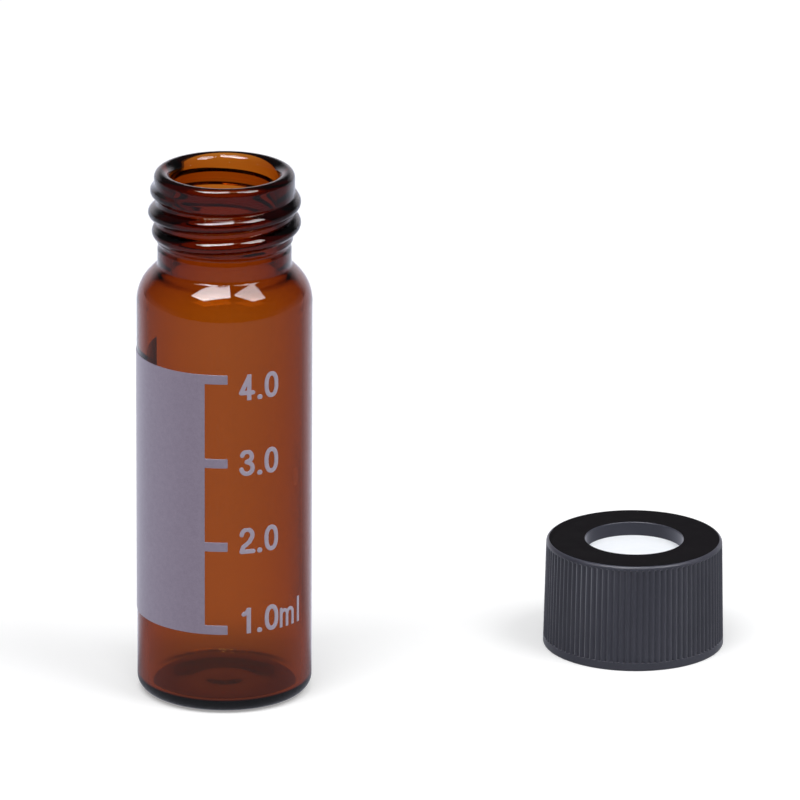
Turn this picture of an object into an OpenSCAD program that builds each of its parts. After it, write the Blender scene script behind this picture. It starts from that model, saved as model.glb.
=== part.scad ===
// Glass sample vial with a screw neck, a fired-on marking scale, and its open-top cap standing beside it.
// Millimetres, +Z up. The origin is on the vial's axis, at the level that the vial and the cap stand on.

/* [Vial body] */
// Outside diameter of the body
body_d = 14.7; // [12.3:0.1:18]
// Height from the standing ring to the top of the lip
vial_h = 45.5; // [36:0.5:60]
// Thickness of the body wall
wall_t = 0.85; // [0.6:0.05:1.1]
// Thickness of the floor above the recess
floor_t = 0.6; // [0.4:0.05:1.6]
// Outer radius of the heel, where the wall turns into the base
heel_r = 1.2; // [0.8:0.1:1.8]
// Inner radius where the wall turns into the floor
floor_r = 0.5; // [0.4:0.1:2]
// Diameter of the recess under the base, where the standing ring starts
recess_d = 10.2; // [7:0.1:10.6]
// Width of the soft slope round the recess
recess_slope = 2.7; // [1:0.1:3]
// Depth of the recess under the base
recess_h = 0.3; // [0.1:0.05:0.4]
// Diameter of the low pip in the middle of the recess, where the base was sealed
pip_d = 3.8; // [2:0.1:4.4]
// Height that the pip stands down from the recess
pip_h = 0.15; // [0.05:0.05:0.3]
// Radius of the rounded shoulder
shoulder_r = 3.2; // [2:0.1:5]
// Radius of the hollow where the shoulder meets the neck
neck_fillet_r = 0.6; // [0.3:0.1:1]

/* [Neck and thread] */
// Diameter over the thread's crest
thread_d = 12.76; // [10.6:0.02:13.2]
// Depth of the thread, from its crest to the neck between its turns
thread_depth = 0.655; // [0.4:0.005:0.75]
// Distance that the lip stands out past the neck between the turns
lip_out = 0.15; // [0.05:0.01:0.25]
// Distance that the plain neck lies inside the neck between the turns
neck_in = 0.125; // [0.05:0.005:0.3]
// Depth of the roller's groove under the thread, from the plain neck
under_groove = 0.1; // [0:0.01:0.15]
// Thickness of the plain neck's wall, which sets the bore of the mouth
neck_t = 1.2; // [0.9:0.05:1.5]
// Height from the foot of the neck to the top of the lip
neck_h = 8.15; // [6.75:0.05:11]
// Height of the lip's plain band
lip_h = 2.05; // [1.4:0.05:2.5]
// Radius of the lip's outer edge, the rest of its width rounds into the mouth
lip_edge_r = 0.6; // [0.4:0.05:0.7]
// Rise of the thread in one turn, 14 turns to the inch
thread_pitch = 1.814; // [1.5:0.002:2.18]
// Width of the rounded ridge at its foot
thread_w = 1.36; // [1:0.02:1.4]
// Turns from end to end, with both run-outs
thread_turns = 2.42; // [1.5:0.01:2.5]
// Drop from the top of the lip to the middle of the thread's upper end
thread_drop = 1.37; // [1.2:0.01:1.8]
// Direction of the thread's upper end, from +X towards +Y
thread_end_a = 262; // [0:1:359]
// Turn over which the ridge grows at its lower end and fades at its upper end
thread_fade_a = 140; // [40:5:180]
// Rise of the ridge's middle above its helix where the lower run-out starts
thread_lift = 0.55; // [0:0.05:0.6]

/* [Marking scale] */
// Height of the panel's lower edge above the standing ring
panel_z = 7.1; // [4:0.1:9]
// Rise of the scale for one millilitre
scale_rise = 7.35; // [5:0.05:7.6]
// Most marks on the scale: fewer are printed where the straight wall is too low for them
mark_max = 4; // [1:1:6]
// Least height left plain between the scale and the shoulder
scale_gap = 3; // [1:0.5:8]
// Height of one mark
mark_h = 0.8; // [0.4:0.05:1.5]
// Angle that a mark runs on past the panel's edge
mark_a = 15; // [6:1:40]
// Angle that the writing panel covers round the body
panel_a = 105; // [40:1:200]
// Direction of the edge that the marks start from, from +X towards +Y
panel_edge_a = 257; // [0:1:359]
// Thickness of the fired-on enamel
enamel_t = 0.05; // [0.03:0.01:0.1]

/* [Cap] */
// Thickness of the skirt at the top, outside the thread
cap_wall_t = 0.95; // [0.8:0.05:1.5]
// Distance that the skirt spreads from the top to the mouth, on the radius
cap_flare = 0.2; // [0.1:0.05:0.4]
// Height between the skirt and the foot of the vial's neck, with the cap screwed down
skirt_gap = 1.55; // [0.8:0.05:2]
// Thickness of the top
cap_top_t = 1.2; // [0.8:0.1:1.5]
// Radius of the rounded edge at the top
cap_edge_r = 0.3; // [0.15:0.05:0.5]
// Distance that the top reaches in past the edge of the vial's bore
hole_in = 0.25; // [-0.4:0.05:1.5]
// Grip grooves round the skirt
groove_count = 90; // [60:1:96]
// Depth of a grip groove
groove_depth = 0.2; // [0.1:0.02:0.26]
// Width of a grip groove at the skirt's surface
groove_w = 0.3; // [0.2:0.02:0.4]
// Height of the smooth band at the mouth
band_h = 0.7; // [0.4:0.1:1.2]
// Play between the vial's thread and the cap's wall, on the radius
thread_play = 0.17; // [0.1:0.01:0.25]
// Play between the cap's thread and the vial's neck, on the radius
crest_play = 0.25; // [0.15:0.01:0.3]
// Width of the cap's thread at its flat crest
cap_crest_w = 0.45; // [0.3:0.05:0.55]
// Width of the cap's thread at the wall
cap_thread_w = 1; // [0.8:0.05:1.2]
// Height between the cap's thread and the pockets
thread_gap = 0.5; // [0.2:0.05:1]
// Pockets round the inside of the mouth
pocket_count = 36; // [24:1:45]
// Depth of the pocket ring, from the mouth
pocket_h = 1.1; // [0.8:0.1:1.3]
// Radial depth of a pocket
pocket_depth = 0.5; // [0.3:0.05:0.5]
// Thickness of the wall between two pockets
pocket_wall = 0.25; // [0.15:0.05:0.4]
// Distance of the cap's axis to the right of the vial's
cap_x = 34.9; // [22:0.1:60]
// Distance of the cap's axis behind the vial's
cap_y = 10.8; // [0:0.1:30]

/* [Septum] */
// Thickness of the silicone
silicone_t = 1.3; // [0.8:0.05:2]
// Thickness of the film bonded under it
film_t = 0.2; // [0.1:0.05:0.3]
// Distance that the septum's seat lies inside the cap's wall
seat_in = 0.38; // [0.3:0.02:0.5]
// Play between the septum and its seat, on the radius
septum_play = 0.12; // [0.05:0.01:0.2]

/* [Hidden] */
$fn = 96;

body_r = body_d / 2;
crest_r = thread_d / 2;
root_r = crest_r - thread_depth;
lip_r = root_r + lip_out;
neck_r = root_r - neck_in;
mouth_r = neck_r - neck_t;
// Steepest turn of the shoulder from the vertical: a wider body adds a cone at this angle
shoulder_max_a = 62;
// Height of the small cones that join neck, thread root and lip
blend_h = 0.3;

neck_z = vial_h - neck_h;
floor_z = recess_h + floor_t;
pip_z = max(0.05, recess_h - pip_h);
slope_in_r = max(pip_d / 2 + 0.1, recess_d / 2 - recess_slope);
shoulder_z = neck_z - bend_h(body_r - neck_r, shoulder_r, neck_fillet_r);
thread_top_z = vial_h - thread_drop;
thread_low_z = thread_top_z - thread_turns * thread_pitch;
thread_low_a = thread_end_a - 360 * thread_turns;

// Reach of a sweep's foot into the wall that carries it
sweep_root = 0.35;
// Depth of a ridge's foot below the surface it rises from
ridge_sink = 0.06;
// Steps of a thread's sweep in one turn
sweep_steps = 36;
// Points across a rounded ridge
ridge_points = 6;

scale_room = shoulder_z - scale_gap - panel_z - mark_h;
mark_count = min(mark_max, 1 + floor(scale_room / scale_rise));
scale_h = (mark_count - 1) * scale_rise + mark_h;

cap_wall_r = crest_r + thread_play;
cap_crest_r = root_r + crest_play;
cap_top_r = cap_wall_r + cap_wall_t;
cap_mouth_r = cap_top_r + cap_flare;
cap_hole_r = mouth_r - hole_in;
seat_r = cap_wall_r - seat_in;
septum_r = seat_r - septum_play;
seat_z = neck_h - skirt_gap;
top_under_z = seat_z + film_t + silicone_t;
cap_h = top_under_z + cap_top_t;
cap_thread_top_z = seat_z - cap_thread_w / 2;
cap_thread_low_z = pocket_h + thread_gap + cap_thread_w / 2;
cap_turns = (cap_thread_top_z - cap_thread_low_z) / thread_pitch;
cap_lean_a = atan(cap_flare / cap_h);

// Points of an arc about c, with both its ends
function arc(c, r, a0, a1, steps = 10) =
    [for (i = [0:steps]) let (a = a0 + (a1 - a0) * i / steps) [c.x + r * cos(a), c.y + r * sin(a)]];

// A bend takes a wall from one radius in to a smaller one: out round ra, along a cone if the step is
// wide, and back round rb. These give its angle, its cone and its height for a step in radius.
function bend_a(step, ra, rb) = min(shoulder_max_a, acos(1 - step / (ra + rb)));
function bend_cone(step, ra, rb) = step - (ra + rb) * (1 - cos(bend_a(step, ra, rb)));
function bend_h(step, ra, rb) =
    let (a = bend_a(step, ra, rb)) (ra + rb) * sin(a) + bend_cone(step, ra, rb) / tan(a);
function bend(r0, r1, z0, ra, rb) =
    let (a = bend_a(r0 - r1, ra, rb), z1 = z0 + bend_h(r0 - r1, ra, rb))
    concat(arc([r0 - ra, z0], ra, 0, a), arc([r1 + rb, z1], rb, 180 + a, 180));

function reversed(list) = [for (i = [len(list) - 1:-1:0]) list[i]];

// Points of a soft step from p to q, with both its ends
function eased(p, q, steps) =
    [for (i = [0:steps]) let (t = i / steps) [p.x + (q.x - p.x) * t, p.y + (q.y - p.y) * t * t * (3 - 2 * t)]];

// 0 at the ends of a thread and 1 along its full ridge, for a point a degrees from the lower end
function ridge_growth(a, length, fade) =
    let (t = min(1, a / fade, (length - a) / fade)) t * t * (3 - 2 * t);

// A closed sweep of one outline along a helix. sections holds one outline of [radius, height] per step.
module helix_sweep(sections, start_a, step_a) {
    rings = len(sections);
    m = len(sections[0]);
    points = [for (i = [0:rings - 1], p = sections[i])
        let (a = start_a + i * step_a) [p.x * cos(a), p.x * sin(a), p.y]];
    sides = [for (i = [0:rings - 2], k = [0:m - 1])
        let (a = i * m + k, b = i * m + (k + 1) % m) each [[a, b, a + m], [b, b + m, a + m]]];
    ends = [[for (k = [m - 1:-1:0]) k], [for (k = [0:m - 1]) (rings - 1) * m + k]];
    polyhedron(points, concat(sides, ends));
}

// The vial's rounded ridge, with its run-outs
module vial_thread() {
    length = 360 * thread_turns;
    steps = round(thread_turns * sweep_steps);
    sections = [for (i = [0:steps])
        let (
            g = ridge_growth(length * i / steps, length, thread_fade_a),
            lift = i < steps / 2 ? thread_lift * (1 - g) : 0,
            z = thread_low_z + thread_turns * thread_pitch * i / steps + lift,
            h = (crest_r - root_r + ridge_sink) * g,
            w = thread_w / 2 * (0.6 + 0.4 * g)
        )
        concat(
            [[root_r - sweep_root, z - w]],
            [for (k = [0:ridge_points])
                let (u = 2 * k / ridge_points - 1)
                [root_r - ridge_sink + h * pow(cos(90 * u), 0.6), z + w * u]],
            [[root_r - sweep_root, z + w]]
        )];
    helix_sweep(sections, thread_low_a, length / steps);
}

module vial_glass() {
    inner_r = body_r - wall_t;
    lip_in_r = lip_r - mouth_r - lip_edge_r;
    lip_z = vial_h - lip_h;
    root_z = thread_low_z - thread_w / 2;
    outside = concat(
        [[0, pip_z]],
        eased([pip_d / 8, pip_z], [pip_d / 2, recess_h], 6),
        eased([slope_in_r, recess_h], [recess_d / 2, 0], 8),
        arc([body_r - heel_r, heel_r], heel_r, -90, 0),
        bend(body_r, neck_r, shoulder_z, shoulder_r, neck_fillet_r),
        eased([neck_r, root_z - blend_h], [neck_r - under_groove, root_z + 0.1], 4),
        [[root_r, root_z + 0.1 + blend_h * 1.5], [root_r, lip_z - blend_h], [lip_r, lip_z]],
        arc([lip_r - lip_edge_r, vial_h - lip_edge_r], lip_edge_r, 0, 90, 8),
        arc([mouth_r + lip_in_r, vial_h - lip_in_r], lip_in_r, 90, 180, 10)
    );
    inside = concat(
        reversed(bend(inner_r, mouth_r, shoulder_z, shoulder_r - wall_t, neck_fillet_r + wall_t)),
        arc([inner_r - floor_r, floor_z + floor_r], floor_r, 0, -90),
        [[0, floor_z]]
    );
    color([0.52, 0.24, 0.08, 0.85]) {
        rotate_extrude() polygon(concat(outside, inside));
        vial_thread();
    }
}

// Part of a ring round the axis, from direction a0 on through the angle turn
module ring_part(r, t, a0, turn, z, h) {
    translate([0, 0, z]) rotate([0, 0, a0]) rotate_extrude(angle = turn)
        translate([r, 0]) square([t, h]);
}

// The panel and its marks are one print: a patch with a window between each two marks
module marking_enamel() {
    color([0.78, 0.77, 0.82]) difference() {
        ring_part(body_r, enamel_t, panel_edge_a - panel_a, panel_a + mark_a, panel_z, scale_h);
        for (i = [1:1:mark_count - 1])
            ring_part(body_r - 1, enamel_t + 2, panel_edge_a, mark_a + 5,
                panel_z + (i - 1) * scale_rise + mark_h, scale_rise - mark_h);
    }
}

// One V-shaped grip groove, standing in the skirt's surface at the +X side
module grip_groove() {
    translate([cap_mouth_r, 0, 0]) rotate([0, -cap_lean_a, 0]) translate([0, 0, band_h])
        linear_extrude(cap_h - band_h - cap_edge_r)
            polygon([[-groove_depth, 0], [groove_depth, -groove_w], [groove_depth, groove_w]]);
}

// The cap's trapezoid thread, cut square at both ends. Its flanks run on straight into the wall.
module cap_thread() {
    steps = round(cap_turns * sweep_steps);
    flank = (cap_thread_w - cap_crest_w) / 2 / (cap_wall_r - cap_crest_r);
    foot_w = cap_thread_w / 2 + flank * sweep_root;
    sections = [for (i = [0:steps])
        let (z = cap_thread_low_z + cap_turns * thread_pitch * i / steps)
        [[cap_wall_r + sweep_root, z + foot_w], [cap_crest_r, z + cap_crest_w / 2],
         [cap_crest_r, z - cap_crest_w / 2], [cap_wall_r + sweep_root, z - foot_w]]];
    helix_sweep(sections, 0, 360 * cap_turns / steps);
}

module cap_shell() {
    pocket_r = cap_wall_r + pocket_depth;
    outline = concat(
        [[pocket_r, 0], [cap_mouth_r - 0.15, 0], [cap_mouth_r, 0.15]],
        arc([cap_top_r - cap_edge_r, cap_h - cap_edge_r], cap_edge_r, 0, 90, 5),
        [[cap_hole_r, cap_h], [cap_hole_r, top_under_z], [seat_r, top_under_z], [seat_r, seat_z],
         [cap_wall_r, seat_z - 0.1], [cap_wall_r, pocket_h], [pocket_r, pocket_h - 0.1]]
    );
    color([0.09, 0.09, 0.1]) translate([cap_x, cap_y, 0]) {
        difference() {
            rotate_extrude() polygon(outline);
            for (i = [0:groove_count - 1]) rotate([0, 0, i * 360 / groove_count]) grip_groove();
        }
        for (i = [0:pocket_count - 1]) rotate([0, 0, i * 360 / pocket_count])
            translate([cap_wall_r + 0.05, -pocket_wall / 2, 0.2])
                cube([pocket_depth + 0.1, pocket_wall, pocket_h]);
        cap_thread();
    }
}

module septum_silicone() {
    color([0.94, 0.95, 0.96]) translate([cap_x, cap_y, seat_z + film_t])
        cylinder(h = silicone_t, r = septum_r);
}

module septum_film() {
    color([0.72, 0.08, 0.1]) translate([cap_x, cap_y, seat_z]) cylinder(h = film_t, r = septum_r);
}

vial_glass();
marking_enamel();
cap_shell();
septum_silicone();
septum_film();
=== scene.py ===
import math
import bpy
import numpy as np
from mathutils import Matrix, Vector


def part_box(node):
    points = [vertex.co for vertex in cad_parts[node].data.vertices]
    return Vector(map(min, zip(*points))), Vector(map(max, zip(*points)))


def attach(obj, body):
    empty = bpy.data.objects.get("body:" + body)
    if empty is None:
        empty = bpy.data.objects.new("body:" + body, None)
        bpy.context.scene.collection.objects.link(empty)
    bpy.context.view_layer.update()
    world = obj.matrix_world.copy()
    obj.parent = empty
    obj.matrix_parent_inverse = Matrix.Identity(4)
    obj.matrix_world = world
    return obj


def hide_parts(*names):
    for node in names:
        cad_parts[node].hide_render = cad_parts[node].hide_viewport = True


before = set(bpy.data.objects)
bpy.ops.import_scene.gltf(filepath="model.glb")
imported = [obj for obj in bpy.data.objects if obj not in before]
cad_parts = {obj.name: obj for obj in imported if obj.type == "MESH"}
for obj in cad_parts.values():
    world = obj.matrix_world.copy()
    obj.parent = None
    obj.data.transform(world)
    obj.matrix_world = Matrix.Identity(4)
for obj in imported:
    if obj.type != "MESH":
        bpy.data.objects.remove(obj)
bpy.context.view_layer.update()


# ---- The vial -----------------------------------------------------------------------------------
# Amber borosilicate tube, blown and rolled in one piece: the base is closed with a shallow recess
# and a small pip, the shoulder is drawn in, and the neck is rolled to a rounded screw thread and a
# flame-polished lip. Sizes are in millimetres.
scene = bpy.context.scene
MM = 0.001


def arc(c, r, a0, a1, n):
    """Points of an arc in the profile's plane, both ends included, in degrees."""
    a = np.radians(np.linspace(a0, a1, n + 1))
    return np.stack([c[0] + r * np.cos(a), c[1] + r * np.sin(a)], 1)


def wall(r0, z0, r1, z1, n):
    """Points along a straight wall, both ends included."""
    return np.stack([np.linspace(r0, r1, n + 1), np.linspace(z0, z1, n + 1)], 1)


def smooth_step(x):
    """A soft rise from 0 to 1 as x goes from 0 to 1."""
    x = np.clip(x, 0, 1)
    return x * x * (3 - 2 * x)


def rise(x, x0, x1):
    """The same rise as x goes from x0 to x1."""
    return smooth_step((x - x0) / (x1 - x0))


def eased(r0, z0, r1, z1, n):
    """Points along a gentle S from one level to another, both ends included."""
    t = np.linspace(0, 1, n + 1)
    return np.stack([r0 + (r1 - r0) * t, z0 + (z1 - z0) * smooth_step(t)], 1)


def joined(*runs):
    """One profile from runs of points, with doubled points left out."""
    pts = np.concatenate(runs)
    keep = np.r_[True, np.hypot(*np.diff(pts, axis=0).T) > 1e-4]
    return pts[keep]


def all_round(profile, columns):
    """The directions (degrees), radii and heights of a profile carried round, as [ring, column]."""
    a = np.linspace(0, 360, columns, endpoint=False)[None, :]
    return a, np.repeat(profile[:, :1], columns, 1), np.repeat(profile[:, 1:], columns, 1)


def turned_piece(name, r, z, at=(0, 0), close=False):
    """A surface of rings, with r and z as [ring, column]. The first and last ring end at a point
    on the axis, unless close joins them to each other."""
    rings, cols = r.shape
    a = np.linspace(0, 2 * math.pi, cols, endpoint=False)
    co = np.stack([at[0] + r * np.cos(a), at[1] + r * np.sin(a), z], 2).reshape(-1, 3)
    i, k = np.meshgrid(np.arange(rings if close else rings - 1), np.arange(cols), indexing="ij")
    j, m = (i + 1) % rings, (k + 1) % cols
    faces = np.stack([i * cols + k, i * cols + m, j * cols + m, j * cols + k], 2).reshape(-1, 4).tolist()
    if not close:
        first, last, last_ring = len(co), len(co) + 1, (rings - 1) * cols
        co = np.concatenate([co, [[at[0], at[1], z[0, 0]], [at[0], at[1], z[-1, 0]]]])
        faces += [[first, (k + 1) % cols, k] for k in range(cols)]
        faces += [[last, last_ring + k, last_ring + (k + 1) % cols] for k in range(cols)]
    mesh = bpy.data.meshes.new(name)
    mesh.from_pydata((co * MM).tolist(), [], faces)
    mesh.shade_smooth()
    piece = bpy.data.objects.new(name, mesh)
    scene.collection.objects.link(piece)
    return piece


def thread_ridge(a, z, low_a, low_z, pitch, turns, fade, width, section, lift=0.0):
    """Height of a helical ridge, from 0 to 1, at the directions a and heights z. It starts at low_a
    and low_z, runs out over fade degrees at each end, and its first end is lifted a little.
    section gives its outline over the distance from the ridge's middle."""
    height = np.zeros(np.broadcast(a, z).shape)
    for k in range(int(turns) + 3):
        t = (a - low_a) % 360 + 360 * k
        g = smooth_step(np.minimum(t, 360 * turns - t) / fade)
        lift_here = np.where(t < 180 * turns, lift, 0) * (1 - g)
        reach = np.abs(z - (low_z + lift_here + pitch * t / 360)) / (width / 2 * (0.6 + 0.4 * g))
        height = np.maximum(height, g * section(reach))
    return height


def rolled_ridge(x):
    """The glass thread's outline: a full hump whose foot is softened, as glass rolled hot is."""
    u = np.linspace(0, 1.6, 161)
    hump = np.where(u < 1, np.cos(np.minimum(u, 1) * math.pi / 2) ** 0.6, 0)
    soften = np.exp(-np.linspace(-2.5, 2.5, 41) ** 2)
    softened = np.convolve(np.r_[hump[:0:-1], hump], soften / soften.sum(), "same")[len(u) - 1:]
    return np.interp(x, u, softened / softened[0])


BODY_R, WALL_T, TOP_Z = 7.35, 0.85, 45.5
HEEL_R, FLOOR_Z, FLOOR_ROUND = 1.2, 0.9, 0.5
PIP_R, PIP_FOOT_R, PIP_Z = 0.475, 1.9, 0.15
RECESS_Z, RECESS_R, RECESS_EDGE_R, RING_R = 0.3, 2.4, 5.1, 5.2
NECK_R, ROOT_R, CREST_R, LIP_R, MOUTH_R = 5.6, 5.725, 6.38, 5.875, 4.4
LIP_OUT, MOUTH_DROP = 0.6, 0.9
LIP_IN = LIP_R - MOUTH_R - LIP_OUT

# The shoulder starts at SHOULDER_Z. Outside it bends in round BEND_R, drawn up a little, then
# flattens gently towards a tight hollow at the neck's foot. Inside, its two bends are rounder.
SHOULDER_Z, BEND_R, DRAWN_UP, BEND_TILT, HOLLOW_R, HOLLOW_TILT = 34.149, 3.2, 1.06, 42, 0.4, 50
INNER_BEND_R, INNER_HOLLOW_R = 2.35, 1.45
bend_turn = math.degrees(math.atan(DRAWN_UP * math.tan(math.radians(BEND_TILT))))
bend = arc((BODY_R - BEND_R, 0), BEND_R, 0, bend_turn, 22) * (1, DRAWN_UP) + (0, SHOULDER_Z)
hollow = arc((NECK_R + HOLLOW_R, 0), HOLLOW_R, 180 + HOLLOW_TILT, 180, 10)
half_way = (bend[-1, 0] - hollow[0, 0]) / 2
knee = bend[-1] + (-half_way, half_way / math.tan(math.radians(BEND_TILT)))
hollow[:, 1] += knee[1] + half_way / math.tan(math.radians(HOLLOW_TILT)) - hollow[0, 1]
t = np.linspace(0, 1, 13)[:, None]
flattening = (1 - t) ** 2 * bend[-1] + 2 * t * (1 - t) * knee + t ** 2 * hollow[0]

inner_r = BODY_R - WALL_T
inner_rounds = INNER_BEND_R + INNER_HOLLOW_R
turn_in = math.degrees(math.acos(1 - (inner_r - MOUTH_R) / inner_rounds))
inner_neck_z = SHOULDER_Z + inner_rounds * math.sin(math.radians(turn_in))

# The neck's rings lie close together from FINE_Z to FINE_TOP_Z, where its outside is shaped below.
FINE_Z, FINE_TOP_Z = 38.35, 44.0
outside = joined(
    eased(PIP_R, PIP_Z, PIP_FOOT_R, RECESS_Z, 13),
    eased(RECESS_R, RECESS_Z, RECESS_EDGE_R, 0, 17),
    wall(RING_R, 0, BODY_R - HEEL_R, 0, 4),
    arc((BODY_R - HEEL_R, HEEL_R), HEEL_R, -90, 0, 14),
    wall(BODY_R, HEEL_R, BODY_R, SHOULDER_Z, 30),
    bend,
    flattening,
    hollow,
    wall(NECK_R, hollow[-1, 1] + 0.05, NECK_R, FINE_Z - 0.05, 3),
    wall(NECK_R, FINE_Z, LIP_R, FINE_TOP_Z, 122),
    wall(LIP_R, FINE_TOP_Z, LIP_R, TOP_Z - LIP_OUT, 4),
    arc((LIP_R - LIP_OUT, TOP_Z - LIP_OUT), LIP_OUT, 0, 90, 12),
    arc((MOUTH_R + LIP_IN, 0), LIP_IN, 90, 180, 20) * (1, MOUTH_DROP / LIP_IN) + (0, TOP_Z - MOUTH_DROP),
)
inside = joined(
    wall(MOUTH_R, TOP_Z - MOUTH_DROP, MOUTH_R, inner_neck_z, 18),
    arc((MOUTH_R + INNER_HOLLOW_R, inner_neck_z), INNER_HOLLOW_R, 180, 180 + turn_in, 12),
    arc((inner_r - INNER_BEND_R, SHOULDER_Z), INNER_BEND_R, turn_in, 0, 14),
    wall(inner_r, SHOULDER_Z, inner_r, FLOOR_Z + FLOOR_ROUND, 30),
    arc((inner_r - FLOOR_ROUND, FLOOR_Z + FLOOR_ROUND), FLOOR_ROUND, 0, -90, 12),
    wall(inner_r - FLOOR_ROUND - 0.1, FLOOR_Z, 0.1, FLOOR_Z, 20),
)
profile = joined(outside, inside)
row = np.arange(len(profile))
a, r, z = all_round(profile, columns=240)

# The neck's outside narrows to a groove under the thread, and the thread's root widens to the lip.
# The thread is a rounded ridge with a run-out at each end.
GROOVE_DEPTH, GROOVE_Z, ROOT_Z, ROOT_FULL_Z, LIP_FOOT_Z, LIP_FULL_Z = 0.1, 38.75, 39.15, 39.62, 43.1, 43.5
PITCH, THREAD_TOP_Z, THREAD_TURNS, THREAD_END_A = 1.814, 44.13, 2.42, 262
RIDGE_W, RUN_OUT, FIRST_END_LIFT = 1.36, 140, 0.55
neck = (row < len(outside)) & (profile[:, 1] > FINE_Z - 0.05) & (profile[:, 1] < FINE_TOP_Z + 0.01)
neck_z = z[neck]
root = NECK_R - GROOVE_DEPTH * rise(neck_z, GROOVE_Z, ROOT_Z)
root += (ROOT_R - NECK_R + GROOVE_DEPTH) * rise(neck_z, ROOT_Z, ROOT_FULL_Z)
root += (LIP_R - ROOT_R) * rise(neck_z, LIP_FOOT_Z, LIP_FULL_Z)
height = thread_ridge(a, neck_z, THREAD_END_A - 360 * THREAD_TURNS, THREAD_TOP_Z - THREAD_TURNS * PITCH,
                      PITCH, THREAD_TURNS, RUN_OUT, RIDGE_W, rolled_ridge, FIRST_END_LIFT)
r[neck] = root + (CREST_R - root) * height

# The bore's wall wanders a little, as drawn tube does, and runs true at the mouth.
OVAL, THREE_SIDED, TRUE_BY = 0.010, 0.006, 2.5
bore = (row >= len(outside)) & (profile[:, 0] > MOUTH_R - 0.1)
sway = OVAL * np.sin(np.radians(a * 2 + 40)) + THREE_SIDED * np.sin(np.radians(a * 3) + z / 9)
sway *= smooth_step((TOP_Z - MOUTH_DROP - z) / TRUE_BY)
r[bore] += sway[bore]
vial = turned_piece("vial_blown_glass", r, z)


def feed(socket, value):
    """Set a socket to a number or a colour, or link it to the output that gives its value."""
    if isinstance(value, bpy.types.NodeSocket):
        socket.id_data.links.new(value, socket)
    elif socket.type == "RGBA":
        socket.default_value = (*value, 1)
    else:
        socket.default_value = value


def node(tree, kind, inputs=None, **settings):
    """A shader node with its settings made and its inputs fed."""
    made = tree.nodes.new(kind)
    for key, value in settings.items():
        setattr(made, key, value)
    for key, value in (inputs or {}).items():
        feed(made.inputs[key], value)
    return made


def new_finish(name, values):
    """A material, its node tree, and its Principled shader set to the values given."""
    made = bpy.data.materials.new(name)
    made.use_nodes = True
    shader = made.node_tree.nodes["Principled BSDF"]
    for key, value in values.items():
        feed(shader.inputs[key], value)
    return made, made.node_tree, shader


def make_mottle():
    """The uneven tone that all these surfaces have, as a group: Scale sets how fine it is, Detail
    how rough its edges are, and Stretch draws it out along an axis."""
    group = bpy.data.node_groups.new("mottle", "ShaderNodeTree")
    group.interface.new_socket("Scale", in_out="INPUT", socket_type="NodeSocketFloat")
    group.interface.new_socket("Detail", in_out="INPUT", socket_type="NodeSocketFloat")
    group.interface.new_socket("Stretch", in_out="INPUT", socket_type="NodeSocketVector")
    group.interface.new_socket("Value", in_out="OUTPUT", socket_type="NodeSocketFloat")
    given = node(group, "NodeGroupInput").outputs
    place = node(group, "ShaderNodeTexCoord")
    drawn = node(group, "ShaderNodeMapping", {"Vector": place.outputs["Object"], "Scale": given["Stretch"]})
    noise = node(group, "ShaderNodeTexNoise", {
        "Vector": drawn.outputs["Vector"], "Scale": given["Scale"], "Detail": given["Detail"]})
    node(group, "NodeGroupOutput", {"Value": noise.outputs["Fac"]})
    return group


mottle_group = make_mottle()


def mottle(tree, scale, detail, stretch=(1, 1, 1)):
    """The mottle group placed in a material, with its own values."""
    values = {"Scale": scale, "Detail": detail, "Stretch": stretch}
    return node(tree, "ShaderNodeGroup", values, node_tree=mottle_group).outputs["Value"]


def bumped(height, strength, depth):
    """A normal that follows the height, depth metres deep."""
    values = {"Height": height, "Strength": strength, "Distance": depth}
    return node(height.id_data, "ShaderNodeBump", values).outputs["Normal"]


# The brown is in the glass itself, so it deepens with the glass that light goes through. Its
# surface has faint draw lines along the tube.
BROWN, BROWN_DENSITY = (0.764, 0.509, 0.03), 3600
glass, tree, shader = new_finish("amber_glass_clear", {
    "Base Color": (1, 1, 1), "Roughness": 0.0, "IOR": 1.5, "Transmission Weight": 1.0})
brown = node(tree, "ShaderNodeVolumeAbsorption", {"Color": BROWN, "Density": BROWN_DENSITY})
feed(tree.nodes["Material Output"].inputs["Volume"], brown.outputs[0])
draw_lines = mottle(tree, scale=90, detail=1, stretch=(1, 1, 0.25))
feed(shader.inputs["Normal"], bumped(draw_lines, strength=0.25, depth=0.00003))
vial.data.materials.append(glass)
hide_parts("vial_glass")
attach(vial, "root")


# ---- The writing panel and its marks ------------------------------------------------------------
# Ceramic ink, screen printed on the finished glass and fired on. The panel and the four marks that
# run out of it are one print. It thins out at its edges.
INK_SUNK, INK_RIM, INK_T, INK_EDGE = 0.008, 0.03, 0.049, 0.06


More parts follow.
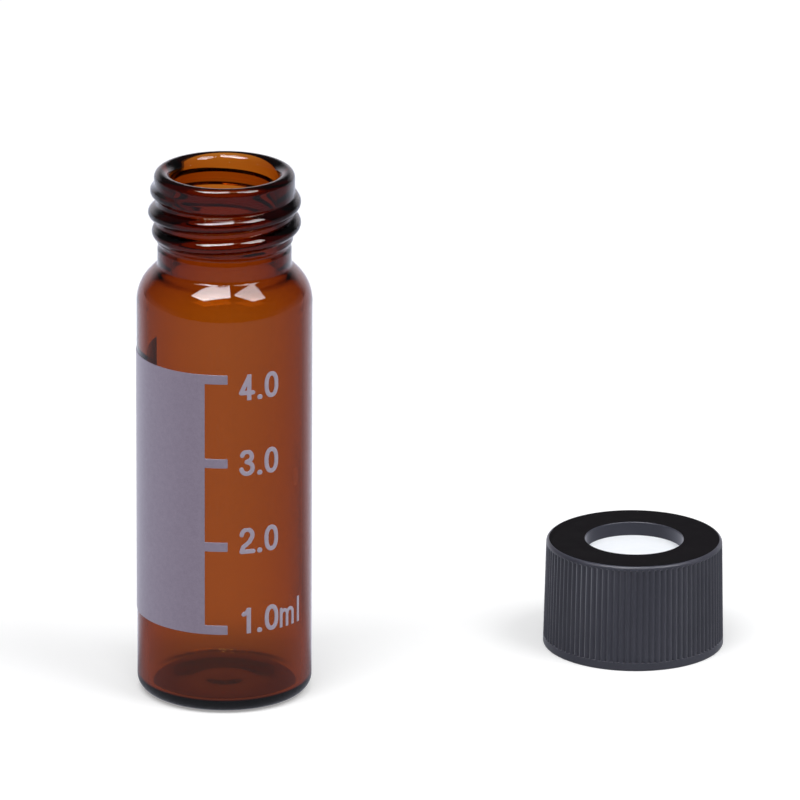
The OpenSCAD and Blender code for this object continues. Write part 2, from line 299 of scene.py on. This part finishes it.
def fired_print(name, depth, s_lines, z_lines):
    """A print bent round the body. depth(s, z) is the distance in mm inside the print's edge, s is
    measured round the body from the front, to the right, and the lines are the grid it is cut on."""
    s, zz = np.meshgrid(s_lines, z_lines, indexing="ij")
    d = depth(s, zz)
    rows, cols = d.shape
    points, index, faces = [], {}, []

    def corner(i, k):
        if (i, k) not in index:
            index[i, k] = len(points)
            points.append((s[i, k], zz[i, k], d[i, k]))
        return index[i, k]

    def crossing(p, q):
        key = (min(p, q), max(p, q))
        if key not in index:
            p, q = key
            t = d[p] / (d[p] - d[q])
            index[key] = len(points)
            points.append((s[p] + t * (s[q] - s[p]), zz[p] + t * (zz[q] - zz[p]), 0))
        return index[key]

    for i in range(rows - 1):
        for k in range(cols - 1):
            around = [(i, k), (i + 1, k), (i + 1, k + 1), (i, k + 1)]
            if all(d[p] <= 0 for p in around):
                continue
            loop = []
            for n in range(4):
                p, q = around[n], around[(n + 1) % 4]
                if d[p] > 0:
                    loop.append(corner(*p))
                if (d[p] > 0) != (d[q] > 0):
                    loop.append(crossing(p, q))
            if len(loop) > 2:
                faces.append(loop)
    points = np.array(points)
    front = BODY_R + INK_RIM + (INK_T - INK_RIM) * smooth_step(points[:, 2] / INK_EDGE)
    back = np.full(len(points), BODY_R - INK_SUNK)
    turn = points[:, 0] / BODY_R - math.pi / 2
    co = [np.stack([q * np.cos(turn), q * np.sin(turn), points[:, 1]], 1) for q in (front, back)]
    n = len(points)
    edges = {(p, q) for loop in faces for p, q in zip(loop, loop[1:] + loop[:1])}
    rim = [(p, q) for loop in faces for p, q in zip(loop, loop[1:] + loop[:1]) if (q, p) not in edges]
    back_faces = [[v + n for v in loop[::-1]] for loop in faces]
    mesh = bpy.data.meshes.new(name)
    mesh.from_pydata((np.concatenate(co) * MM).tolist(), [],
                     faces + back_faces + [[q, p, p + n, q + n] for p, q in rim])
    mesh.shade_smooth()
    for f in mesh.polygons[2 * len(faces):]:
        f.use_smooth = False
    piece = bpy.data.objects.new(name, mesh)
    scene.collection.objects.link(piece)
    return piece


def box_depth(s, zz, s0, s1, z0, z1, corner):
    """Distance inside a rectangle with rounded corners."""
    ds = np.abs(s - (s0 + s1) / 2) - (s1 - s0) / 2 + corner
    dz = np.abs(zz - (z0 + z1) / 2) - (z1 - z0) / 2 + corner
    out = np.hypot(np.maximum(ds, 0), np.maximum(dz, 0)) + np.minimum(np.maximum(ds, dz), 0)
    return corner - out


# Directions round the vial are in degrees, with the front at FRONT_A.
FRONT_A, PANEL_A0, PANEL_A1, MARK_A1 = 270, 152, 257, 272
PANEL_Z, MARK_RISE, MARK_H, MARKS = 7.1, 7.35, 0.8, 4
PANEL_CORNER, MARK_CORNER, MARK_ROOT = 0.12, 0.07, 0.5
panel_s0, panel_s1, mark_s1 = [math.radians(a - FRONT_A) * BODY_R for a in (PANEL_A0, PANEL_A1, MARK_A1)]
mark_z = [PANEL_Z + i * MARK_RISE for i in range(MARKS)]
panel_top = mark_z[-1] + MARK_H


def panel_depth(s, zz):
    """Distance inside the panel or the nearest of its marks."""
    d = box_depth(s, zz, panel_s0, panel_s1, PANEL_Z, panel_top, PANEL_CORNER)
    for z0 in mark_z:
        d = np.maximum(d, box_depth(s, zz, panel_s1 - MARK_ROOT, mark_s1, z0, z0 + MARK_H, MARK_CORNER))
    return d


def lines_near(edges, low, high, coarse, fine=0.03, reach=0.15):
    """Grid lines from low to high, close together near the edges."""
    lines = list(np.arange(low, high, coarse))
    for e in edges:
        lines += list(np.arange(e - reach, e + reach + 1e-6, fine))
    lines = np.unique(np.round(lines, 4))
    return lines[np.r_[True, np.diff(lines) > 0.004]]


marks = fired_print(
    "marking_print", panel_depth,
    lines_near([panel_s0, panel_s1, mark_s1], panel_s0, mark_s1 + 0.1, coarse=0.16),
    lines_near([z0 + h for z0 in mark_z for h in (0, MARK_H)], PANEL_Z, panel_top, coarse=0.8),
)


def sums(operation, *inputs):
    """A maths node on numbers and outputs."""
    tree = next(v.id_data for v in inputs if isinstance(v, bpy.types.NodeSocket))
    made = node(tree, "ShaderNodeMath", operation=operation)
    for socket, value in zip(made.inputs, inputs):
        feed(socket, value)
    return made.outputs[0]


def slope(value, x0, x1, y0, y1, kind="SMOOTHSTEP"):
    """A ramp of value from y0 at x0 to y1 at x1, level beyond them."""
    values = {"Value": value, "From Min": x0, "From Max": x1, "To Min": y0, "To Max": y1}
    return node(value.id_data, "ShaderNodeMapRange", values, interpolation_type=kind).outputs["Result"]


def two_tones(value, low, low_tone, high, high_tone):
    """A colour that runs from one tone to the other as value goes from low to high."""
    made = node(value.id_data, "ShaderNodeValToRGB", {"Fac": value})
    for stop, place, tone in zip(made.color_ramp.elements, (low, high), (low_tone, high_tone)):
        stop.position = place
        stop.color = (*tone, 1)
    return made.outputs["Color"]


def mixed(factor, colour, other, blend="MIX"):
    """A colour that goes over to the other, or is blended with it, by the factor."""
    made = node(factor.id_data, "ShaderNodeMix", data_type="RGBA", blend_type=blend)
    for key, value in (("Factor", factor), ("A", colour), ("B", other)):
        feed(made.inputs[key], value)
    return made.outputs["Result"]


def fired_ink(name, low_tone, high_tone):
    """Matt ceramic ink: a fine speck on faint clouds, with a painted sheen that makes it paler where it is
    seen aslant.
    """
    ink, tree, shader = new_finish(name, {"Roughness": 0.3, "Sheen Weight": 0.15, "Sheen Roughness": 0.3})
    speck = mottle(tree, scale=9000, detail=3)
    cloud = mottle(tree, scale=2500, detail=4)
    tone = two_tones(sums("MULTIPLY_ADD", speck, 0.55, sums("MULTIPLY", cloud, 0.45)),
                     0.35, low_tone, 0.72, high_tone)
    aslant = node(tree, "ShaderNodeLayerWeight", {"Blend": 0.5}).outputs["Facing"]
    # Painted sheen: the ink's colour is made paler where the surface is seen aslant, standing in for a
    # reflection.
    tone_with_painted_sheen = mixed(slope(aslant, 0.12, 0.62, 0, 1, "LINEAR"), tone, (1.38, 1.46, 1.42), "MULTIPLY")
    feed(shader.inputs["Base Color"], tone_with_painted_sheen)
    feed(shader.inputs["Normal"], bumped(speck, strength=0.35, depth=0.00001))
    return ink


marks.data.materials.append(fired_ink("fired_enamel_ink", (0.218, 0.180, 0.248), (0.262, 0.220, 0.294)))
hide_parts("marking_enamel")
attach(marks, "root")


# ---- The scale's figures ------------------------------------------------------------------------
# The millilitre figures beside the marks, in the same fired ink and the same print run, a little
# paler where the screen left less of it. They are plain upright figures with strokes of one width.
FIGURE_H, STROKE, FINE_STROKE, DOT = 2.25, 0.37, 0.29, 0.44
MID, FOOT = FIGURE_H / 2, STROKE / 2


def line(*pts):
    """A stroke through the points given."""
    return np.array(pts, float)


def bow(c, rx, rz, a0, a1, power=1.0, n=28):
    """Part of an ellipse, or of a squarer oval where power is under 1."""
    t = np.radians(np.linspace(a0, a1, n + 1))
    across, up = [np.sign(v) * np.abs(v) ** power for v in (np.cos(t), np.sin(t))]
    return np.stack([c[0] + rx * across, c[1] + rz * up], 1)


def stroke(*runs):
    """One stroke of the brush from lines and bows."""
    return np.concatenate(runs)


glyphs = {
    "0": [bow((0.67, MID), 0.48, MID - FOOT, 0, 360, 0.86, 48)],
    "1": [line((0.57, 0), (0.57, FIGURE_H)), line((0.55, 2.12), (0.4, 1.83), (0.13, 1.7))],
    "2": [stroke(bow((0.66, 1.62), 0.46, 0.5, 175, -25), line((0.85, 1.02), (0.32, 0.58), (0.2, FOOT))),
          line((0.19, FOOT), (1.2, FOOT))],
    "3": [stroke(bow((0.64, 1.68), 0.42, 0.44, 165, -60), line((0.62, 1.22))),
          stroke(line((0.62, 1.22)), bow((0.65, 0.68), 0.48, 0.5, 62, -168))],
    "4": [line((0.86, 2.06), (0.18, 0.66), (1.2, 0.66)), line((0.87, 0), (0.87, FIGURE_H))],
    ".": [line((0.2, 0.19), (0.22, 0.19))],
    "m": [line((0.15, 0), (0.15, 1.6)),
          stroke(bow((0.49, 1.1), 0.33, 0.38, 175, 0), line((0.82, 0))),
          stroke(bow((1.18, 1.1), 0.33, 0.38, 175, 0), line((1.51, 0)))],
    "l": [line((0.15, 0), (0.15, FIGURE_H))],
}
# Each row's text, its base line, and where each sign starts.
rows_of_text = [
    ("4.0", 27.7, (1.2, 2.8, 3.44)), ("3.0", 21.07, (1.24, 2.8, 3.44)), ("2.0", 14.21, (1.24, 2.8, 3.44)),
    ("1.0ml", 7.14, (1.48, 2.8, 3.48, 4.98, 7.1)),
]
widths = {"m": FINE_STROKE, "l": FINE_STROKE, ".": DOT}
strokes = [(path + (s0, base), widths.get(sign, STROKE), base)
           for text, base, starts in rows_of_text for sign, s0 in zip(text, starts) for path in glyphs[sign]]


def figure_depth(s, zz):
    """Distance inside the nearest stroke. The strokes end square at the foot and head of the figures."""
    best = np.full(s.shape, -1.0)
    for path, thick, base in strokes:
        lo, hi = path.min(0) - thick, path.max(0) + thick
        near = (s > lo[0]) & (s < hi[0]) & (zz > lo[1]) & (zz < hi[1])
        p = np.stack([s[near], zz[near]], 1)
        d = np.full(len(p), 9.0)
        for q0, q1 in zip(path[:-1], path[1:]):
            along = q1 - q0
            t = np.clip(((p - q0) @ along) / max(along @ along, 1e-12), 0, 1)
            d = np.minimum(d, np.hypot(*(p - q0 - t[:, None] * along).T))
        within = np.minimum(thick / 2 - d, np.minimum(p[:, 1] - base, base + FIGURE_H - p[:, 1]))
        best[near] = np.maximum(best[near], within)
    return best


GRID, MARGIN, TEXT_START, TEXT_END = 0.03, 0.1, 1.0, 7.6
figures = fired_print(
    "scale_figures", figure_depth, np.arange(TEXT_START, TEXT_END, GRID),
    np.concatenate([np.arange(base - MARGIN, base + FIGURE_H + MARGIN, GRID)
                    for _, base, _ in rows_of_text[::-1]]),
)
figures.data.materials.append(fired_ink("fired_figure_ink", (0.305, 0.260, 0.330), (0.37, 0.322, 0.395)))
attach(figures, "root")


# ---- The cap's shell ----------------------------------------------------------------------------
# Black polypropylene, moulded in one piece: ribbed skirt with a smooth band at the mouth, open top,
# trapezoid screw thread and a ring of small pockets inside. It stands on its mouth beside the vial.
CAP_H, CAP_TOP_R, CAP_MOUTH_R, CAP_WALL_R, CAP_CREST_R = 9.3, 7.5, 7.7, 6.55, 5.975
HOLE_R, TOP_UNDER_Z, SEAT_R, SEAT_Z, BAND_H = 4.15, 8.1, 6.17, 6.6, 0.7
RIBS, RIB_DEPTH, RIB_TOP_Z, RIB_FADE = 90, 0.2, 8.98, 0.14
POCKETS, POCKET_R, POCKET_H, POCKET_GAP = 36, 7.05, 1.1, 0.115
SMALL_ROUND, TOP_ROUND = 0.12, 0.32
CAP_RIDGE_W, CAP_RIDGE_FLAT, CAP_RUN_OUT, CAP_RIDGE_Z = 1.0, 0.45, 14, POCKET_H + 1.0
cap_low, cap_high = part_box("cap_shell")
cap_at = ((cap_low.x + cap_high.x) / 2 / MM, (cap_low.y + cap_high.y) / 2 / MM)


def skirt(*heights):
    """Points of the skirt, which spreads towards the mouth, at the heights given."""
    h = np.array(heights)
    return np.stack([CAP_MOUTH_R + (CAP_TOP_R - CAP_MOUTH_R) * h / CAP_H, h], 1)


cap_outside = joined(
    arc((CAP_MOUTH_R - SMALL_ROUND, SMALL_ROUND), SMALL_ROUND, -90, 0, 4),
    skirt(0.3, BAND_H - 0.1, BAND_H - 0.01, BAND_H, BAND_H + 0.01, BAND_H + 0.1),
    skirt(*np.linspace(1.2, 8.7, 9)),
    skirt(RIB_TOP_Z - 0.16, RIB_TOP_Z - 0.08, RIB_TOP_Z - 0.01),
    arc((CAP_TOP_R - TOP_ROUND, CAP_H - TOP_ROUND), TOP_ROUND, 2, 90, 6),
    wall(CAP_TOP_R - 0.4, CAP_H, HOLE_R + 0.18, CAP_H, 8),
    arc((HOLE_R + SMALL_ROUND, CAP_H - SMALL_ROUND), SMALL_ROUND, 90, 180, 4),
    wall(HOLE_R, CAP_H - 0.15, HOLE_R, TOP_UNDER_Z, 3),
)
cap_inside = joined(
    wall(HOLE_R + 0.02, TOP_UNDER_Z, SEAT_R, TOP_UNDER_Z, 4),
    wall(SEAT_R, TOP_UNDER_Z - 0.05, SEAT_R, SEAT_Z, 3),
    wall(CAP_WALL_R, SEAT_Z - 0.1, CAP_WALL_R, POCKET_H + 0.06, 64),
    wall(CAP_WALL_R, POCKET_H, CAP_WALL_R, 0.22, 5),
    wall(POCKET_R, 0.2, POCKET_R, 0.1, 1),
    wall(POCKET_R + 0.1, 0, CAP_MOUTH_R - 0.2, 0, 2),
)
profile = joined(cap_outside, cap_inside)
a, r, z = all_round(profile, columns=RIBS * 8)
row = np.arange(len(profile))[:, None]

# The ribs are what the valleys leave of the skirt. They start sharply at the band and fade at the top.
ribbed = (row < len(cap_outside)) & (z > BAND_H - 0.15) & (z < RIB_TOP_Z + 0.01) & (r > CAP_TOP_R - 0.02)
fade = (z > BAND_H + 0.005) * smooth_step((RIB_TOP_Z - z) / RIB_FADE)
valley = 0.5 - 0.5 * np.cos(np.radians(a * RIBS))
r -= np.where(ribbed, RIB_DEPTH * fade * valley ** 1.3, 0)


def flat_top(x):
    """The moulded thread's outline: a flat crest with straight flanks."""
    return np.clip((1 - x) / (1 - CAP_RIDGE_FLAT), 0, 1)


# Inside, the thread stands on the wall above the pockets, which are cut into it with thin ribs between.
on_wall = (row >= len(cap_outside)) & (np.abs(r - CAP_WALL_R) < 0.02)
above_pockets = z > POCKET_H + 0.03
turns = (SEAT_Z - 0.5 - CAP_RIDGE_Z) / PITCH
ridge = thread_ridge(a, z, 0, CAP_RIDGE_Z, PITCH, turns, CAP_RUN_OUT, CAP_RIDGE_W, flat_top)
r -= np.where(on_wall & above_pockets, (CAP_WALL_R - CAP_CREST_R) * ridge, 0)
between = np.abs((a * POCKETS / 360 + 0.5) % 1 - 0.5) < POCKET_GAP
r += np.where(on_wall & ~above_pockets & ~between, POCKET_R - CAP_WALL_R, 0)
cap = turned_piece("cap_moulded_shell", r, z, cap_at, close=True)
cap.data.set_sharp_from_angle(angle=math.radians(50))


def moulded_black(name, low_tone, high_tone, low_roughness, high_roughness, values):
    """Black polypropylene: faint flow marks in tone and gloss, and the fine grain of the mould."""
    made, tree, shader = new_finish(name, {
        "IOR": 1.49, "Sheen Roughness": 0.35, "Sheen Tint": (0.9, 0.92, 1.0), **values})
    flow = mottle(tree, scale=260, detail=3)
    spark_grain = mottle(tree, scale=5200, detail=3)
    feed(shader.inputs["Base Color"], two_tones(flow, 0.3, low_tone, 0.75, high_tone))
    feed(shader.inputs["Roughness"], slope(flow, 0.3, 0.7, low_roughness, high_roughness, "LINEAR"))
    feed(shader.inputs["Normal"], bumped(spark_grain, strength=0.5, depth=0.00001))
    return made


# The skirt has a satin bloom. The flat top is spark eroded in the mould, which dulls its gloss, and its
# tones are painted shade: the same plastic, made far darker than the skirt.
satin = moulded_black("black_moulded_polypropylene", (0.040, 0.041, 0.056), (0.050, 0.051, 0.068),
                      0.34, 0.46, {"Sheen Weight": 0.2})
top_black_painted_dark = moulded_black("black_spark_eroded_top_painted_shade", (0.0015, 0.0013, 0.0017), (0.0045, 0.0040, 0.0050),
                           0.6, 0.75, {"Specular IOR Level": 0.05})
cap.data.materials.append(satin)
cap.data.materials.append(top_black_painted_dark)
for f in cap.data.polygons:
    if f.center.z > (CAP_H - 0.02) * MM:
        f.material_index = 1
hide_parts("cap_shell")
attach(cap, "root")


# ---- The septum ---------------------------------------------------------------------------------
# A punched disc of white silicone with a thin red film bonded to the side that meets the vial. It is
# pressed into the cap's top, and the silicone shows through the hole.
SEPTUM_R, FILM_T, SILICONE_T = 6.05, 0.2, 1.3


def punched_disc(name, low_z, high_z, edge):
    """A flat disc with slightly rounded edges."""
    flat = wall(0.15, low_z, SEPTUM_R - edge, low_z, 13)
    pts = joined(
        flat,
        arc((SEPTUM_R - edge, low_z + edge), edge, -90, 0, 4),
        arc((SEPTUM_R - edge, high_z - edge), edge, 0, 90, 4),
        flat[::-1] + (0, high_z - low_z),
    )
    _, r, z = all_round(pts, columns=180)
    return turned_piece(name, r, z, cap_at)


film_top = SEAT_Z + FILM_T
pad = punched_disc("septum_silicone_disc", film_top, film_top + SILICONE_T, 0.06)
silicone, tree, shader = new_finish("white_silicone_rubber", {"Roughness": 0.55, "IOR": 1.41})
dust = mottle(tree, scale=1400, detail=4)
feed(shader.inputs["Base Color"], two_tones(dust, 0.3, (0.90, 0.93, 0.97), 0.7, (0.93, 0.955, 0.985)))
feed(shader.inputs["Normal"], bumped(dust, strength=0.3, depth=0.00001))
pad.data.materials.append(silicone)
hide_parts("septum_silicone")
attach(pad, "root")

film = punched_disc("septum_red_film", SEAT_Z, film_top, 0.04)
red, tree, shader = new_finish("red_fluoropolymer_film", {"Roughness": 0.25})
streak = mottle(tree, scale=700, detail=3)
feed(shader.inputs["Base Color"], two_tones(streak, 0, (0.40, 0.012, 0.016), 1, (0.55, 0.018, 0.024)))
film.data.materials.append(red)
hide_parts("septum_film")
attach(film, "root")

# The vial is lit as if it stood alone, so gloss leaves out the cap and its septum.
for piece in (cap, pad, film):
    piece.visible_glossy = False


# ---- The table ----------------------------------------------------------------------------------
# A plain white table top that the vial and the cap stand on, and that keeps their shadow. Gloss and
# glass see it as a table with a dim room in front, at the sides and under the vial.
TABLE_HALF, TABLE_WHITE, TABLE_GLOW = 1.6, 0.8, 0.28
mesh = bpy.data.meshes.new("table_top")
corners = [(-TABLE_HALF, -TABLE_HALF, 0), (TABLE_HALF, -TABLE_HALF, 0),
           (TABLE_HALF, TABLE_HALF, 0), (-TABLE_HALF, TABLE_HALF, 0)]
mesh.from_pydata(corners, [], [(0, 1, 2, 3)])
table = bpy.data.objects.new("table_top", mesh)
scene.collection.objects.link(table)
paper = bpy.data.materials.new("white_table_paper")
paper.use_nodes = True
tree = paper.node_tree
tree.nodes.remove(tree.nodes["Principled BSDF"])


def less(value):
    """What is left of 1."""
    return sums("SUBTRACT", 1, value)


def times(first, second):
    """The product of two values."""
    return sums("MULTIPLY", first, second)


def larger(first, second):
    """The larger of two values."""
    return sums("MAXIMUM", first, second)


def round_the_vial(x, y):
    """Where a place or a direction lies round the vial, from -1 in front to 1 behind, and how far out."""
    length = sums("SQRT", sums("ADD", times(x, x), times(y, y)))
    return sums("DIVIDE", y, larger(length, 1e-6)), length


ray = node(tree, "ShaderNodeLightPath").outputs
camera_ray, gloss_ray, glass_ray = ray["Is Camera Ray"], ray["Is Glossy Ray"], ray["Is Transmission Ray"]
place = node(tree, "ShaderNodeTexCoord")
spot = node(tree, "ShaderNodeSeparateXYZ", {"Vector": place.outputs["Object"]}).outputs
behind, reach = round_the_vial(spot["X"], spot["Y"])
reach = times(reach, 1 / MM)

# reach is in millimetres from the vial's axis, and behind goes from -1 in front of it to 1 behind.
# Gloss sees painted light on the table: white behind the vial and dim at its sides. More than 0.3 m in front
# of the vial it sees painted shade, dark, though the table goes on there.
# Seen through glass it is white close by too.
SIDE_LEVEL, GLOSS_SHADE_Y = 0.34, -0.3
white_side = slope(behind, 0.35, 0.92, 0.0, 1.0)
white_side = larger(white_side, times(glass_ray, slope(reach, 16, 35, 1.0, 0.0)))
gloss_unshaded = slope(spot["Y"], GLOSS_SHADE_Y - 0.01, GLOSS_SHADE_Y + 0.01, 0.0, 1.0)
gloss_sees = times(sums("MULTIPLY_ADD", white_side, 1.0 - SIDE_LEVEL, SIDE_LEVEL), gloss_unshaded)

# The vial's own shade on the table, which is only seen through its glass: soft all round, deeper
# behind and in front of the foot.
deeper = larger(slope(behind, 0.35, 0.92, 0.0, 0.9), slope(behind, -0.92, -0.35, 0.5, 0.0))
deeper = times(deeper, larger(slope(reach, 6.9, 9.8, 0.93, 0.0), slope(reach, 8, 20, 0.4, 0.0)))
beyond_ring = slope(reach, 6.0, 6.2, 0.0, 1.0)
left_by_shade = times(beyond_ring, times(slope(reach, 6, 17.5, 0.75, 1.0), less(deeper)))

# Under the base, a little red-brown light comes down through the glass, and none reaches the far
# slope of the recess.
UNDER_LEVEL = 0.235
under_vial = less(beyond_ring)
far_slope = times(slope(behind, 0.3, 0.65, 0.0, 1.0), slope(reach, 3.0, 3.8, 0.0, 1.0))
far_slope = times(far_slope, slope(reach, 5.2, 5.7, 1.0, 0.3))
under_light = times(times(under_vial, UNDER_LEVEL), less(far_slope))

# The camera sees the table white out to its far end.
seen = times(larger(camera_ray, glass_ray), TABLE_GLOW)
seen = sums("ADD", seen, times(camera_ray, slope(reach, 150, 600, 0.0, 0.8)))
seen = sums("ADD", seen, times(gloss_ray, gloss_sees))
seen = times(seen, less(times(glass_ray, less(left_by_shade))))
level = sums("ADD", seen, times(glass_ray, under_light))
cool = mixed(ray["Is Reflection Ray"], (1, 1, 1), (0.90, 0.93, 1.08))
colour = mixed(under_vial, cool, (0.98, 0.58, 0.90))
glow = node(tree, "ShaderNodeEmission", {"Color": colour, "Strength": level})
white = mixed(gloss_ray, (TABLE_WHITE, TABLE_WHITE, TABLE_WHITE), (0, 0, 0))
diffuse = node(tree, "ShaderNodeBsdfDiffuse", {"Color": white})
both = node(tree, "ShaderNodeAddShader")
feed(both.inputs[0], diffuse.outputs[0])
feed(both.inputs[1], glow.outputs[0])
feed(tree.nodes["Material Output"].inputs["Surface"], both.outputs[0])
mesh.materials.append(paper)


# ---- The studio ---------------------------------------------------------------------------------
# Two softboxes side by side, almost overhead, in a plain pale room. Gloss and glass see the boxes as
# bright windows in a dim room with a white wall behind the vial, and the camera sees plain white.

# Each box is given by its four corners, anticlockwise, as directions at a height of 1. BOX_GLOW is
# how bright gloss and glass see each one.
BOXES = [((-0.53, -0.71), (0.13, -0.49), (0.07, -0.02), (-0.73, -0.27)),
         ((0.77, -0.74), (1.06, -0.35), (0.47, 0.04), (0.16, -0.39))]
BOX_UP, BOX_RADIANCE, BOX_GLOW, EDGE_SHARPNESS = 0.7, 5.5, (17.0, 11.5), 60
for n, corners in enumerate(BOXES):
    lamp = bpy.data.lights.new("softbox_%d" % (n + 1), "AREA")
    lamp.shape = "RECTANGLE"
    sides = [math.dist(corners[k], corners[(k + 1) % 4]) for k in range(4)]
    lamp.size, lamp.size_y = (sides[0] + sides[2]) / 2 * BOX_UP, (sides[1] + sides[3]) / 2 * BOX_UP
    lamp.energy = BOX_RADIANCE * math.pi * lamp.size * lamp.size_y
    holder = bpy.data.objects.new("softbox_%d" % (n + 1), lamp)
    holder.location = [sum(c[k] for c in corners) / 4 * BOX_UP for k in (0, 1)] + [BOX_UP]
    holder.rotation_euler = (0, 0, math.atan2(corners[1][1] - corners[0][1], corners[1][0] - corners[0][0]))
    holder.visible_glossy = False
    holder.visible_transmission = False
    scene.collection.objects.link(holder)

world = bpy.data.worlds.new("pale_room")
scene.world = world
world.use_nodes = True
tree = world.node_tree
tree.nodes.clear()
ray = node(tree, "ShaderNodeLightPath").outputs
glass_ray = ray["Is Transmission Ray"]
way = node(tree, "ShaderNodeTexCoord")
toward = node(tree, "ShaderNodeSeparateXYZ", {"Vector": way.outputs["Generated"]}).outputs
up = larger(toward["Z"], 0.02)
across = sums("DIVIDE", toward["X"], up)
along = sums("DIVIDE", toward["Y"], up)


def in_box(corners):
    """1 where a direction meets the box, falling to 0 over a soft edge inside it."""
    inside_by = 1.0
    for (x0, y0), (x1, y1) in zip(corners, corners[1:] + corners[:1]):
        length = math.hypot(x1 - x0, y1 - y0)
        nx, ny = (y0 - y1) / length, (x1 - x0) / length
        from_edge = sums("MULTIPLY_ADD", along, ny, -x0 * nx - y0 * ny)
        inside_by = sums("MINIMUM", sums("MULTIPLY_ADD", across, nx, from_edge), inside_by)
    return sums("MINIMUM", larger(times(inside_by, EDGE_SHARPNESS), 0), 1)


# The boxes shine brighter at their near edge, and only above the horizon.
windows = sums("MULTIPLY_ADD", in_box(BOXES[0]), BOX_GLOW[0], times(in_box(BOXES[1]), BOX_GLOW[1]))
above = sums("GREATER_THAN", toward["Z"], 0.05)
windows = times(windows, times(above, slope(along, -0.6, -0.2, 1.1, 0.7)))

# The wall behind the vial is white low down and fades out above, and a faint one goes on round the
# sides. Glass also sees a dim fill all round, with less of it low down behind.
height, (behind, _) = toward["Z"], round_the_vial(toward["X"], toward["Y"])
back_wall = slope(behind, 0.55, 0.92, 0.0, 1.0)
side_wall = times(slope(height, 0.02, 0.2, 0.2, 0.04), slope(behind, -0.8, 0.1, 0.0, 1.0))
walls = larger(times(slope(height, 0.15, 0.50, 1.0, 0.0), back_wall), side_wall)
low_behind = times(slope(height, 0.3, 0.5, 1.0, 0.0), back_wall)
fill = sums("ADD", times(glass_ray, sums("MULTIPLY_ADD", low_behind, -0.17, 0.25)), 0.01)
tint = mixed(sums("MINIMUM", windows, 1), (1.0, 0.95, 1.03), (1, 1, 1))
room = node(tree, "ShaderNodeBackground", {
    "Color": tint, "Strength": sums("ADD", sums("ADD", walls, fill), windows)})

# Matt surfaces are lit by a plain pale room instead, also by the light that gloss or glass sends them.
plain = node(tree, "ShaderNodeBackground", {"Color": (0.97, 0.98, 1.0), "Strength": 0.42})
white = node(tree, "ShaderNodeBackground", {"Color": (1, 1, 1), "Strength": 1.0})
no_matt_bounce = sums("LESS_THAN", ray["Diffuse Depth"], 0.5)
sees_room = times(larger(ray["Is Glossy Ray"], glass_ray), no_matt_bounce)


def either(factor, first, second):
    """The first shader, or the second where the factor is 1."""
    made = node(tree, "ShaderNodeMixShader")
    for socket, value in zip(made.inputs, (factor, first.outputs[0], second.outputs[0])):
        feed(socket, value)
    return made


seen_room = either(ray["Is Camera Ray"], either(sees_room, plain, room), white)
node(tree, "ShaderNodeOutputWorld", {"Surface": seen_room.outputs[0]})

# A long lens, a little above the vial, turned so that the vial stands left of the middle.
CAMERA_AT, LOOK_DOWN, LOOK_RIGHT = (0, -0.853, 0.3124), 18.6, 0.935
camera_data = bpy.data.cameras.new("camera")
camera_data.sensor_width = 36
camera_data.lens = 483.8
camera_data.clip_start = 0.05
camera_data.clip_end = 20
camera = bpy.data.objects.new("camera", camera_data)
camera.location = CAMERA_AT
camera.rotation_mode = "YXZ"
camera.rotation_euler = (math.radians(90 - LOOK_DOWN), math.radians(-LOOK_RIGHT), 0)
scene.collection.objects.link(camera)
scene.camera = camera
scene.view_settings.view_transform = "Standard"
